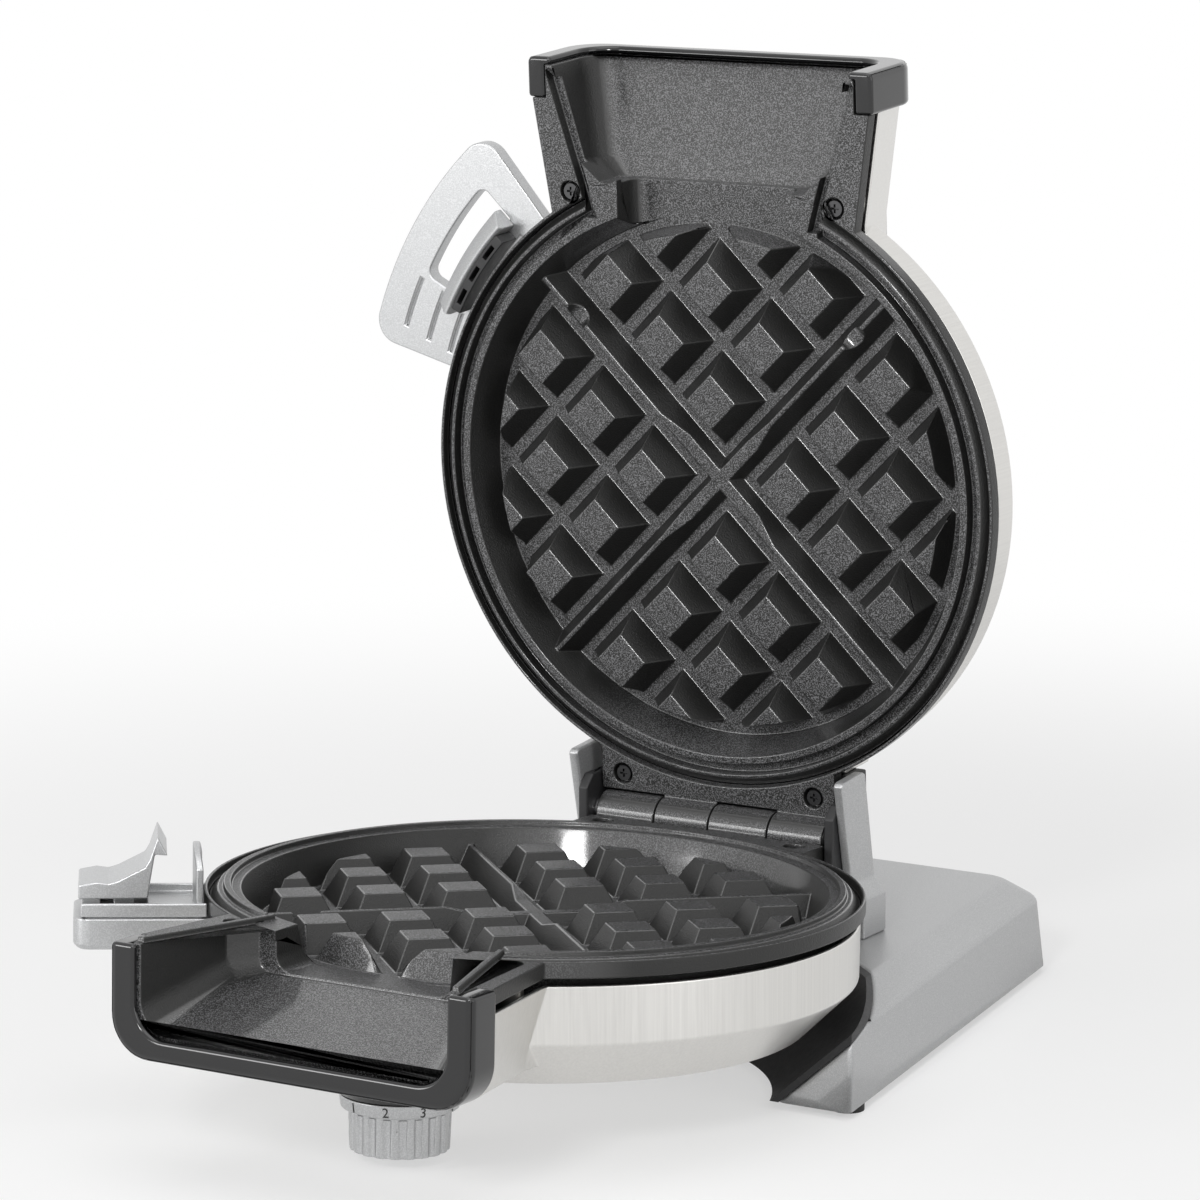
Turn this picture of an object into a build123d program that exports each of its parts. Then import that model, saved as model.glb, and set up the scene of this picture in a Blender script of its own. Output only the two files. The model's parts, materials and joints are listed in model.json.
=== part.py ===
from build123d import *
import os
from math import atan2, cos, degrees, hypot, radians, sin

# Vertical waffle maker with its front half lying open. Millimetres, +Z up.
# The origin is on the table, straight below the hinge line, which runs along X.

# How the two halves stand round the hinge line
HINGE_Z = 62.0
REAR_LEAN = 3.77
FRONT_RAISE = 2.08

# Round cooking plate, seen from its cooking face
DISC_V = 112.0
FLANGE_R = 100.0
FACE = -0.2
FLANGE_BACK = -5.2
BEAD_R = 88.8
DISH_R = 84.5
DISH_W = -12.2
BODY_R = 92.5
BODY_BACK = -15.4
SEAL_R = 93.0
SEAL_HALF = 1.6
SEAL_DEEP = 3.8
RIM_SLOPE_R = 95.8
RIM_GROOVE_R = 98.0
RIM_EDGE_R = 98.9
RIM_GROOVE_DEEP = 2.8
TONGUE_HALF = 1.15
TONGUE_TOP = 1.4

# Hinge ears and knuckles
EAR_X = 42.8
EAR_V = 7.6
KNUCKLE_R = 7.0
KNUCKLE_GAP = 0.3
KNUCKLE_ENDS = (-41.5, -20.0, 0.0, 21.5, 41.5)
PIN_R = 3.0
RUNNING_GAP = 0.05

# Funnel neck, its trough and the throat into the dish
NECK_V = 197.0
NECK_X = 54.5
TRIM_V = 232.5
SHOULDER_X = 60.0
LIP_X = 55.0
LIP_V = 243.0
TRIM_END_V = 245.5
THROAT_X = 30.0
TROUGH_WALLS = ((198.0, 38.0, 15.4, 7.0), (213.0, 46.0, 18.4, 10.0), (243.0, 55.0, 29.4, 12.0))
TROUGH_SECTIONS = ((206.5, 36.0, 13.2, 5.0), (213.0, 43.5, 15.8, 8.0), (246.5, 53.2, 27.2, 9.5))

# Waffle lattice: raised blocks in four quarters round an X of ridges
PITCH = 25.5
FIRST_BLOCK = 18.4
BLOCK = 21.5
BLOCK_TALL = 9.0
BLOCK_TAPER = 26.6
LATTICE_R = 81.5
RIDGE_TOP = 1.4
RIDGE_FOOT = 9.0
RIDGE_TALL = 6.9
RIDGE_SLANT = degrees(atan2(RIDGE_FOOT - RIDGE_TOP, 2 * RIDGE_TALL))
HUB_FLAT = 17.2
HUB_END = 28.0
HUB_TALL = 4.3
NOTCH_R = 4.7
NOTCH_RISE = 1.5
NOTCH_AT = 70.3

# Steel covers
COVER_R = 98.5
COVER_TOP = -7.6
COVER_WALL = 1.4
CHAMFER = 15.0
FRONT_BAND = 17.4
REAR_BAND = 10.0
NECK_DRAFT = 6.0
NECK_BACK = -33.0
HINGE_NECK_BACK = -24.0
REAR_NECK_V = 20.0
FRONT_FLOOR = COVER_TOP - FRONT_BAND - CHAMFER + COVER_WALL
POST_R = 4.0
LAMP_R = 2.5
LAMP_AT = ((-16.0, 152.0), (16.0, 152.0))

# Heating element, pressed flat against the plate, and the shield behind it
ELEMENT_R = 3.2
ELEMENT_FLAT = 0.6
ELEMENT_RING_R = 54.0
ELEMENT_GAP = 12.0
SHIELD_W = -25.5

# Plate screws
SCREWS = ((-47.3, 203.0), (47.3, 203.0), (-35.0, 13.1), (35.0, 13.1))
HEAD_R = 2.9
HEAD_POCKET_R = 3.4
HEAD_DEEP = 2.6
HEAD_TALL = 1.9
SHANK_R = 1.3

# Black trim round the funnel mouth
TRIM_X = 61.4
TRIM_BACK = -34.0
TRIM_CORNER = 13.0

# Latch, on the viewer's left of both halves
LATCH_ANGLE = 144.0
LUG_HALF = 15.0
LUG_OUT_R = 139.0
LUG_BACK = -16.3
LUG_TOP = -6.6
TRAY_BACK = -6.1
TRAY_FLOOR = -4.5
TRAY_RIM = -2.0
TRAY_OUT_R = 136.8
TRAY_WALL = 1.4
POCKET_LONG = 14.0
POCKET_HALF = 10.0
POCKET_FLOOR = -15.0
GUARD_R = 101.2
GUARD_WALL = 2.2
GUARD_TOP = 13.6
GUARD_SIDE = 6.5
LEVER_HALF = 12.2
LEVER_FOOT_HALF = 6.0
LATCH_PIN_AT = (124.0, -9.5)
LATCH_PIN_R = 1.5
SPRING_WIRE_R = 0.4

# Rear handle plate and catch bar
HANDLE_R = 136.5
HANDLE_FRONT = -11.5
HANDLE_BACK = -17.0
HANDLE_FROM = 129.0
HANDLE_TO = 164.5
WINDOW_IN_R = 110.0
WINDOW_OUT_R = 124.0
WINDOW_FROM = 134.5
WINDOW_TO = 152.0
GROOVES = ((125.3, 153.0, 161.0), (116.0, 153.0, 161.6), (107.3, 154.5, 162.0))

# Control knob under the front half
KNOB_V = 186.0
BEZEL_R = 20.0
BEZEL_BACK = -47.6
KNOB_TOP = -48.0
KNOB_SKIRT_R = 18.0
KNOB_R = 14.6
KNOB_END = -64.8
SPINDLE_R = 3.0
THERMOSTAT_TOP = -27.5

# Stand, heights from the table
FOOT_Z = 2.5
SIDE_Z = 26.0
TOP_Z = 31.4
BASE_BOTTOM = ((68.5, 104.0), (95.0, -87.0))
BASE_SIDE = ((67.0, 101.0), (92.8, -82.0))
BASE_TOP = ((56.0, 98.0), (77.0, -50.0))
BASE_WALL = 2.5
BASE_COVER = 2.0
SCOOP_R = 97.8
SCOOP_GROWTH = 1.1
LINER = 2.9
FEET = ((-88.0, -75.0), (88.0, -75.0), (-60.0, 92.0), (60.0, 92.0))
BOSSES = ((-54.0, 78.0), (54.0, 78.0), (-63.0, 12.0), (63.0, 12.0))
GLAND_Z = 13.0
GLAND_R = 5.0
CHEEK_X = 43.4
ARM_X = 46.8
ARM_OUT_X = 50.2
PLINTH_X = 46.0
PLINTH_Z = 44.5
PLINTH_FRONT = -1.2

rear = Plane(
    origin=(0, 0, HINGE_Z),
    x_dir=(1, 0, 0),
    z_dir=(0, -cos(radians(REAR_LEAN)), -sin(radians(REAR_LEAN))),
)
front = Plane(
    origin=(0, 0, HINGE_Z),
    x_dir=(-1, 0, 0),
    z_dir=(0, sin(radians(FRONT_RAISE)), cos(radians(FRONT_RAISE))),
)


def disc_plane(half):
    """the half's face plane, moved to the middle of its round plate"""
    return Plane(origin=half.from_local_coords((0, DISC_V, 0)), x_dir=half.x_dir, z_dir=half.z_dir)


def radial_plane(half, angle=0.0):
    """a cut through the disc's middle: x runs outwards at the angle, y out of the cooking face"""
    turn = radians(angle)
    disc = disc_plane(half)
    outward = disc.x_dir * cos(turn) + disc.y_dir * sin(turn)
    return Plane(origin=disc.origin, x_dir=outward, z_dir=outward.cross(disc.z_dir))


def side_plane(half):
    """a cut across the hinge line: x runs up the half, y out of the cooking face"""
    return Plane(origin=half.origin, x_dir=half.y_dir, z_dir=half.x_dir)


def neck_plane(half, v):
    """a cut across the funnel at the height v: x is the half's x, y out of the cooking face"""
    return Plane(origin=half.from_local_coords((0, v, 0)), x_dir=half.x_dir, z_dir=-half.y_dir)


def disc_axis(half):
    disc = disc_plane(half)
    return Axis(disc.origin, disc.z_dir)


def latch_angle(half):
    """the latch is at the same side of both halves, whose x axes run opposite ways"""
    return LATCH_ANGLE if half is rear else 180 - LATCH_ANGLE


def latch_face(half):
    """the half's face plane again, with x running outwards through the latch"""
    outward = radial_plane(half, latch_angle(half)).x_dir
    return Plane(origin=disc_plane(half).origin, x_dir=outward, z_dir=half.z_dir)


def ring_sector(inner, outer, start, end, corner=0.0):
    """part of a ring between two angles, with its outer corners rounded"""
    with BuildSketch() as sector:
        with BuildLine():
            outside = CenterArc((0, 0), outer, start, end - start)
            inside = CenterArc((0, 0), inner, start, end - start)
            Line(outside @ 0, inside @ 0)
            Line(outside @ 1, inside @ 1)
        make_face()
        if corner:
            fillet(sector.vertices().filter_by(lambda at: hypot(at.X, at.Y) > outer - 0.1), corner)
    return sector.sketch


def keep(builder, label):
    """name a finished piece and write its file"""
    builder.part.label = label
    export_step(builder.part, f"parts/{label}.step")


def face_outline():
    """outline of the cooking face: disc, funnel neck that narrows for the trim, and hinge ears"""
    with BuildSketch() as outline:
        with Locations((0, DISC_V)):
            Circle(FLANGE_R)
        with BuildLine():
            Polyline(
                (0, NECK_V - 40), (NECK_X - 3, NECK_V - 12), (NECK_X, NECK_V),
                (SHOULDER_X, TRIM_V), (LIP_X, TRIM_V), (LIP_X, LIP_V), (0, LIP_V), close=True,
            )
        make_face()
        with BuildLine():
            Polyline((0, EAR_V), (EAR_X, EAR_V), (EAR_X, 30), (0, 40), close=True)
        make_face()
        mirror(about=Plane.YZ)
    return outline.sketch


def seal_outline(half_width):
    """the seal runs round the disc and up both sides of the funnel"""
    with BuildSketch() as seal:
        with Locations((0, DISC_V)):
            Circle(SEAL_R + half_width)
            Circle(SEAL_R - half_width, mode=Mode.SUBTRACT)
        with BuildLine():
            Polyline((0, 190), (THROAT_X + 12, 186), (40.5, 203), (52, 243), (0, 260), close=True)
        right_side = make_face(mode=Mode.PRIVATE)
        add(right_side, mode=Mode.SUBTRACT)
        add(right_side.mirror(Plane.YZ), mode=Mode.SUBTRACT)
        for side in (-1, 1):
            with BuildLine():
                Polyline(
                    (side * (39.4 - half_width), 195), (side * (39.4 + half_width), 195),
                    (side * (42.2 + half_width), 205), (side * (53.4 + half_width), 241.5),
                    (side * (53.4 - half_width), 241.5), (side * (42.2 - half_width), 205), close=True,
                )
            make_face()
    return seal.sketch


def lattice_blocks():
    """block corners of one quarter, out to the ring that stays bare at the dish wall"""
    cells = []
    for i in range(3):
        for j in range(3):
            if i + j < 4:
                cells.append((FIRST_BLOCK + i * PITCH, FIRST_BLOCK + j * PITCH))
    return cells


# The lattice is made once, round its own middle, and set into both plates
with BuildPart() as lattice:
    for quarter in range(4):
        with BuildSketch(Plane.XY.rotated((0, 0, 45 + 90 * quarter))):
            with Locations(*lattice_blocks()):
                Rectangle(BLOCK, BLOCK)
    extrude(amount=BLOCK_TALL, taper=BLOCK_TAPER)
    with BuildSketch():
        Circle(LATTICE_R)
    extrude(amount=BLOCK_TALL + 1, taper=12, mode=Mode.INTERSECT)

with BuildPart() as ridges:
    for turn in (45, 135):
        with BuildSketch(Plane.XY.rotated((0, 0, turn))):
            Rectangle(2 * BEAD_R + 8, RIDGE_FOOT)
    extrude(amount=RIDGE_TALL, taper=RIDGE_SLANT)
    with BuildSketch():
        Circle(BEAD_R)
    extrude(amount=RIDGE_TALL, mode=Mode.INTERSECT)
    for turn in (45, 135):
        with BuildSketch(Plane.XZ.rotated((0, 0, turn))):
            with BuildLine():
                Polyline(
                    (-HUB_END, RIDGE_TALL), (-HUB_FLAT, HUB_TALL), (HUB_FLAT, HUB_TALL),
                    (HUB_END, RIDGE_TALL), (HUB_END, RIDGE_TALL + 1), (-HUB_END, RIDGE_TALL + 1), close=True,
                )
            make_face()
            with Locations((NOTCH_AT, RIDGE_TALL + NOTCH_RISE)):
                Circle(NOTCH_R)
        extrude(amount=8, both=True, mode=Mode.SUBTRACT)


def cooking_plate(half, label):
    """cast plate with its lattice, funnel trough, seal and hinge knuckles"""
    is_front = half is front
    with BuildPart() as plate:
        with BuildSketch(half.offset(FLANGE_BACK)):
            add(face_outline())
        extrude(amount=FACE - FLANGE_BACK)
        with BuildSketch(radial_plane(half)):
            with BuildLine():
                Polyline(
                    (0, FLANGE_BACK), (BODY_R, FLANGE_BACK), (BODY_R, BODY_BACK + 2.5),
                    (BODY_R - 2.5, BODY_BACK), (0, BODY_BACK), close=True,
                )
            make_face()
        revolve(axis=disc_axis(half))
        for v, half_width, depth, corner in TROUGH_WALLS:
            with BuildSketch(neck_plane(half, v)):
                RectangleRounded(2 * half_width, 2 * depth, corner)
        loft(ruled=True)
        with BuildSketch(half.offset(FACE)):
            with Locations((0, DISC_V + 60)):
                Rectangle(260, 400)
        extrude(amount=60, mode=Mode.SUBTRACT)
        with BuildSketch(radial_plane(half)):
            with BuildLine():
                Polyline((0, 1), (BEAD_R, 1), (BEAD_R, FACE), (DISH_R, DISH_W), (0, DISH_W), close=True)
            make_face()
            with BuildLine():
                Polyline(
                    (RIM_SLOPE_R, FACE), (RIM_GROOVE_R, FACE - RIM_GROOVE_DEEP),
                    (RIM_EDGE_R, FACE - RIM_GROOVE_DEEP), (RIM_EDGE_R, 1), (RIM_SLOPE_R, 1), close=True,
                )
            make_face()
        revolve(axis=disc_axis(half), mode=Mode.SUBTRACT)
        for v, half_width, depth, corner in TROUGH_SECTIONS:
            with BuildSketch(neck_plane(half, v)):
                RectangleRounded(2 * half_width, 2 * depth, corner)
        loft(ruled=True, mode=Mode.SUBTRACT)
        with BuildSketch(neck_plane(half, NECK_V - 9)):
            RectangleRounded(2 * THROAT_X, -2 * DISH_W, 5)
        extrude(amount=NECK_V - 10 - TROUGH_SECTIONS[0][0], mode=Mode.SUBTRACT)
        with Locations(disc_plane(half).offset(DISH_W).location):
            add(lattice.part)
            add(ridges.part)
        with BuildSketch(half.offset(TONGUE_TOP if is_front else FACE)):
            add(seal_outline(TONGUE_HALF if is_front else SEAL_HALF))
        if is_front:
            extrude(amount=FACE - TONGUE_TOP)
        else:
            extrude(amount=-SEAL_DEEP, mode=Mode.SUBTRACT)
        ends = KNUCKLE_ENDS if half is rear else [-end for end in reversed(KNUCKLE_ENDS)]
        for k in (1, 3):
            low = ends[k] + KNUCKLE_GAP / 2
            high = ends[k + 1] - KNUCKLE_GAP / 2
            with BuildSketch(side_plane(half).offset(low)):
                Circle(KNUCKLE_R)
                with BuildLine():
                    Polyline(
                        (0, FACE), (EAR_V + 1, FACE), (EAR_V + 1, FLANGE_BACK), (0, -KNUCKLE_R), close=True
                    )
                make_face()
                Circle(PIN_R + RUNNING_GAP, mode=Mode.SUBTRACT)
            extrude(amount=high - low)
        with BuildSketch(half.offset(FACE)):
            with Locations(*SCREWS):
                Circle(HEAD_POCKET_R)
        extrude(amount=-HEAD_DEEP, mode=Mode.SUBTRACT)
        with BuildSketch(half.offset(FACE)):
            with Locations(*SCREWS):
                Circle(SHANK_R + 0.3)
        extrude(amount=-8, mode=Mode.SUBTRACT)
    keep(plate, label)


def cover_form(half, band, inset=0.0):
    """outer form of a steel cover, or its hollow when inset: pan, funnel neck and hinge neck"""
    end = TRIM_V if inset == 0 else TRIM_V + 2
    hinge_end = (1.0 if half is front else REAR_NECK_V) + inset
    back = COVER_TOP - band
    top = COVER_TOP if inset == 0 else COVER_TOP + 1
    with BuildPart() as form:
        with BuildSketch(radial_plane(half)):
            with BuildLine():
                Polyline(
                    (0, top), (COVER_R - inset, top), (COVER_R - inset, back + inset * 0.4),
                    (COVER_R - CHAMFER - inset * 0.4, back - CHAMFER + inset), (0, back - CHAMFER + inset),
                    close=True,
                )
            make_face()
        revolve(axis=disc_axis(half))
        for w, narrow in ((top, 0.0), (NECK_BACK + inset, NECK_DRAFT)):
            with BuildSketch(half.offset(w)):
                with BuildLine():
                    Polyline(
                        (inset + narrow - NECK_X + 1, DISC_V + 40), (NECK_X - 1 - inset - narrow, DISC_V + 40),
                        (NECK_X - inset - narrow, NECK_V), (SHOULDER_X - inset - narrow, end),
                        (inset + narrow - SHOULDER_X, end), (inset + narrow - NECK_X, NECK_V), close=True,
                    )
                make_face()
        loft(ruled=True)
        with BuildSketch(half.offset(top)):
            with BuildLine():
                Polyline(
                    (inset - EAR_X, hinge_end), (EAR_X - inset, hinge_end), (EAR_X - inset, DISC_V - 60),
                    (inset - EAR_X, DISC_V - 60), close=True,
                )
            make_face()
        extrude(amount=HINGE_NECK_BACK + inset - top)
    return form.part


def cover(half, label, band):
    """pressed steel cover, hollow, with posts that the plate is screwed to"""
    with BuildPart() as shell:
        add(cover_form(half, band))
        add(cover_form(half, band, COVER_WALL), mode=Mode.SUBTRACT)
        with BuildSketch(half.offset(FLANGE_BACK)):
            with Locations(*[at for at in SCREWS if half is front or at[1] > DISC_V]):
                Circle(POST_R)
        extrude(amount=HINGE_NECK_BACK - FLANGE_BACK + COVER_WALL / 2)
        with BuildSketch(half.offset(FLANGE_BACK)):
            with Locations(*SCREWS):
                Circle(SHANK_R + 0.05)
        extrude(amount=-12, mode=Mode.SUBTRACT)
        if half is front:
            with BuildSketch(half.offset(FRONT_FLOOR - 4)):
                with Locations((0, KNOB_V)):
                    Circle(SPINDLE_R + 1)
                with Locations(*LAMP_AT):
                    Circle(LAMP_R)
            extrude(amount=8, mode=Mode.SUBTRACT)
    keep(shell, label)


def plate_screws(half, label):
    """four pan-head screws with cross recesses"""
    with BuildPart() as screws:
        with BuildSketch(half.offset(FACE - HEAD_DEEP)):
            with Locations(*SCREWS):
                Circle(HEAD_R)
        extrude(amount=HEAD_TALL, taper=12)
        with BuildSketch(half.offset(FACE - HEAD_DEEP + HEAD_TALL)):
            with Locations(*SCREWS):
                Rectangle(2.8, 0.7)
                Rectangle(0.7, 2.8)
        extrude(amount=-1, mode=Mode.SUBTRACT)
        with BuildSketch(half.offset(FACE - HEAD_DEEP)):
            with Locations(*SCREWS):
                Circle(SHANK_R)
        extrude(amount=-11)
    keep(screws, label)


def trim(half, label):
    """black U of the funnel mouth: it caps the plate's end and hides the cover's edge"""
    with BuildPart() as band:
        with BuildSketch(neck_plane(half, TRIM_V)):
            RectangleRounded(2 * TRIM_X, -2 * TRIM_BACK, TRIM_CORNER)
        extrude(amount=TRIM_V - TRIM_END_V)
        outer = band.faces().sort_by(Axis((0, 0, 0), half.y_dir))[-1].edges()
        chamfer(outer, 1.2)
        _, half_width, depth, corner = TROUGH_WALLS[-1]
        with BuildSketch(neck_plane(half, TRIM_V - 1)):
            RectangleRounded(2 * half_width + 0.4, 2 * depth + 0.4, corner)
        extrude(amount=TRIM_V - 1 - LIP_V, mode=Mode.SUBTRACT)
        with BuildSketch(neck_plane(half, TRIM_V)):
            RectangleRounded(2 * half_width - 4.2, 2 * depth - 4.2, corner - 2)
        extrude(amount=TRIM_V - TRIM_END_V - 1, mode=Mode.SUBTRACT)
        with BuildSketch(half.offset(FACE)):
            with Locations((0, TRIM_V)):
                Rectangle(200, 60)
        extrude(amount=60, mode=Mode.SUBTRACT)
    keep(band, label)


def heating_element(half, label):
    """sheathed tube, pressed flat where it lies on the plate's back, with two cold ends"""
    end_x = ELEMENT_RING_R * sin(radians(ELEMENT_GAP))
    end_y = -ELEMENT_RING_R * cos(radians(ELEMENT_GAP))
    with BuildPart() as element:
        with BuildSketch(radial_plane(half, ELEMENT_GAP - 90)):
            with Locations((ELEMENT_RING_R, BODY_BACK + ELEMENT_FLAT - ELEMENT_R)):
                RegularPolygon(ELEMENT_R, 8, rotation=22.5)
            with Locations((ELEMENT_RING_R, BODY_BACK + 3)):
                Rectangle(12, 6, mode=Mode.SUBTRACT)
        revolve(axis=disc_axis(half), revolution_arc=360 - 2 * ELEMENT_GAP)
        with BuildSketch(disc_plane(half).offset(BODY_BACK - 1)):
            with Locations((-end_x, end_y), (end_x, end_y)):
                Circle(ELEMENT_R - 0.7)
        extrude(amount=-11)
    keep(element, label)


def heat_shield(half, label):
    """thin dished reflector on three standoffs behind the element"""
    with BuildPart() as shield:
        with BuildSketch(radial_plane(half)):
            with BuildLine():
                Polyline(
                    (0, SHIELD_W), (70, SHIELD_W), (78, SHIELD_W + 4), (78, SHIELD_W + 5),
                    (69.6, SHIELD_W + 0.9), (0, SHIELD_W + 0.9), close=True,
                )
            make_face()
        revolve(axis=disc_axis(half))
        with BuildSketch(disc_plane(half).offset(SHIELD_W)):
            with PolarLocations(65, 3, start_angle=30):
                Circle(3)
        extrude(amount=BODY_BACK - SHIELD_W)
        with BuildSketch(disc_plane(half).offset(SHIELD_W - 1)):
            with Locations((0, -ELEMENT_RING_R)):
                Rectangle(40, 14)
        extrude(amount=6, mode=Mode.SUBTRACT)
    keep(shield, label)


os.makedirs("parts", exist_ok=True)

# Both halves: plate, cover, trim, screws, element and shield
for half, name, band in ((rear, "rear", REAR_BAND), (front, "front", FRONT_BAND)):
    cooking_plate(half, name + "_plate")
    cover(half, name + "_cover", band)
    trim(half, name + "_funnel_trim")
    plate_screws(half, name + "_plate_screws")
    heating_element(half, name + "_heating_element")
    heat_shield(half, name + "_heat_shield")

with BuildPart() as thermal_cutoff:
    with BuildSketch(disc_plane(rear).offset(BODY_BACK)):
        Circle(7)
    extrude(amount=-4)
    with BuildSketch(disc_plane(rear).offset(BODY_BACK)):
        Rectangle(24, 6)
    extrude(amount=-0.8)
    with BuildSketch(disc_plane(rear).offset(BODY_BACK - 4)):
        with Locations((-4, 0), (4, 0)):
            Rectangle(0.8, 4)
    extrude(amount=-3.5)
keep(thermal_cutoff, "thermal_cutoff")

# Rear handle: a flat plate beside the cover with a window for the latch hook
handle_face = disc_plane(rear)
with BuildPart() as rear_handle:
    with BuildSketch(handle_face.offset(HANDLE_BACK)):
        add(ring_sector(COVER_R, HANDLE_R, HANDLE_FROM, HANDLE_TO, 8))
    extrude(amount=HANDLE_FRONT - HANDLE_BACK)
    with BuildSketch(handle_face.offset(HANDLE_BACK)):
        add(ring_sector(WINDOW_IN_R, WINDOW_OUT_R, WINDOW_FROM, WINDOW_TO, 3))
        add(ring_sector(GUARD_R - 0.6, GUARD_R + GUARD_WALL + 0.4, LATCH_ANGLE - 9, LATCH_ANGLE + 9))
    extrude(amount=HANDLE_FRONT - HANDLE_BACK, mode=Mode.SUBTRACT)
    with BuildSketch(handle_face.offset(HANDLE_FRONT)):
        for r, start, end in GROOVES:
            add(ring_sector(r - 0.6, r + 0.6, start, end))
    extrude(amount=-0.8, mode=Mode.SUBTRACT)
keep(rear_handle, "rear_handle")

with BuildPart() as catch_bar:
    with BuildSketch(radial_plane(rear, WINDOW_FROM)):
        with BuildLine():
            Polyline(
                (107.5, HANDLE_FRONT), (107.5, -4.0), (108.4, -2.6), (109.8, -3.2),
                (114.5, -8.0), (114.5, HANDLE_FRONT), close=True,
            )
        make_face()
    revolve(axis=disc_axis(rear), revolution_arc=154 - WINDOW_FROM)
keep(catch_bar, "catch_bar")

with BuildPart() as catch_bracket:
    with BuildSketch(handle_face.offset(HANDLE_FRONT)):
        add(ring_sector(GUARD_R + GUARD_WALL + 0.6, 107.5, 136, 152.5))
        for start in (138, 143, 148):
            with BuildSketch(handle_face.offset(HANDLE_FRONT), mode=Mode.SUBTRACT):
                add(ring_sector(105, 106.5, start, start + 3))
    extrude(amount=8.5)
keep(catch_bracket, "catch_bracket")

# Latch on the front half: lug and tray, guard fin, lever, pin and spring
latch = latch_face(front)
latch_side = radial_plane(front, latch_angle(front))
latch_end = Plane(origin=latch.origin, x_dir=latch.y_dir, z_dir=latch.x_dir)
lug_middle = (COVER_R + LUG_OUT_R) / 2 - 5
with BuildPart() as latch_housing:
    with BuildSketch(latch.offset(LUG_BACK)):
        with Locations((lug_middle, 0)):
            RectangleRounded(2 * (LUG_OUT_R - lug_middle), 2 * LUG_HALF, 5)
        Circle(COVER_R, mode=Mode.SUBTRACT)
    extrude(amount=LUG_TOP - LUG_BACK)
    chamfer(latch_housing.faces().sort_by(Axis(latch.origin, latch.z_dir))[0].edges(), 1.5)
    with BuildSketch(latch.offset(LUG_TOP)):
        with Locations((118, 0)):
            Rectangle(34, 2 * LUG_HALF - 2)
    extrude(amount=TRAY_BACK - LUG_TOP)
    with BuildSketch(latch.offset(TRAY_BACK)):
        with Locations(((TRAY_OUT_R + 90) / 2, 0)):
            Rectangle(TRAY_OUT_R - 90, 2 * LUG_HALF)
        Circle(FLANGE_R + 0.3, mode=Mode.SUBTRACT)
    extrude(amount=TRAY_RIM - TRAY_BACK)
    with BuildSketch(latch.offset(TRAY_FLOOR)):
        with Locations((TRAY_OUT_R - 20, 0)):
            Rectangle(60, 2 * (LUG_HALF - TRAY_WALL))
    extrude(amount=5, mode=Mode.SUBTRACT)
    with BuildSketch(latch.offset(POCKET_FLOOR)):
        with Locations((LATCH_PIN_AT[0], 0)):
            Rectangle(POCKET_LONG, 2 * POCKET_HALF)
    extrude(amount=TRAY_RIM - POCKET_FLOOR, mode=Mode.SUBTRACT)
    with BuildSketch(latch_side):
        with Locations(LATCH_PIN_AT):
            Circle(LATCH_PIN_R)
    extrude(amount=POCKET_HALF + 3, both=True, mode=Mode.SUBTRACT)
keep(latch_housing, "latch_housing")

with BuildPart() as latch_guard:
    with BuildSketch(latch_end):
        with BuildLine():
            Polyline(
                (-LUG_HALF, GUARD_SIDE), (-LUG_HALF, TRAY_FLOOR), (LUG_HALF, TRAY_FLOOR), (LUG_HALF, GUARD_SIDE)
            )
            ThreePointArc((LUG_HALF, GUARD_SIDE), (0, GUARD_TOP), (-LUG_HALF, GUARD_SIDE))
        make_face()
    extrude(amount=GUARD_R + 10)
    with BuildSketch(latch.offset(TRAY_FLOOR)):
        Circle(GUARD_R + GUARD_WALL)
        Circle(GUARD_R, mode=Mode.SUBTRACT)
        with Locations((-60, 0)):
            Rectangle(150, 300, mode=Mode.SUBTRACT)
        for side in (-1, 1):
            with Locations((GUARD_R, side * (LUG_HALF + 0.8))):
                Rectangle(20, 2 * (TRAY_WALL + 0.9), mode=Mode.SUBTRACT)
    extrude(amount=30, mode=Mode.INTERSECT)
keep(latch_guard, "latch_guard")

with BuildPart() as latch_pin:
    with BuildSketch(latch_side):
        with Locations(LATCH_PIN_AT):
            Circle(LATCH_PIN_R)
    extrude(amount=POCKET_HALF + 3, both=True)
keep(latch_pin, "latch_pin")

with BuildPart() as latch_lever:
    with BuildSketch(latch_side):
        with BuildLine():
            Polyline(
                (137.5, -1.3), (137.5, 3.0), (132.2, 4.0), (128.6, 3.5), (125.7, 4.4), (117.7, 8.5),
                (116.4, 10.7), (114.0, 17.7), (111.0, 12.0), (114.8, 12.3), (115.5, 8.0), (117.0, -1.0),
                close=True,
            )
        make_face()
    extrude(amount=LEVER_HALF, both=True)
    with BuildSketch(latch_side):
        with Locations(LATCH_PIN_AT):
            Circle(3.2)
        with Locations((LATCH_PIN_AT[0], -5)):
            Rectangle(6, 9)
        with Locations(LATCH_PIN_AT):
            Circle(LATCH_PIN_R + RUNNING_GAP, mode=Mode.SUBTRACT)
    extrude(amount=LEVER_FOOT_HALF, both=True)
keep(latch_lever, "latch_lever")

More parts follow.
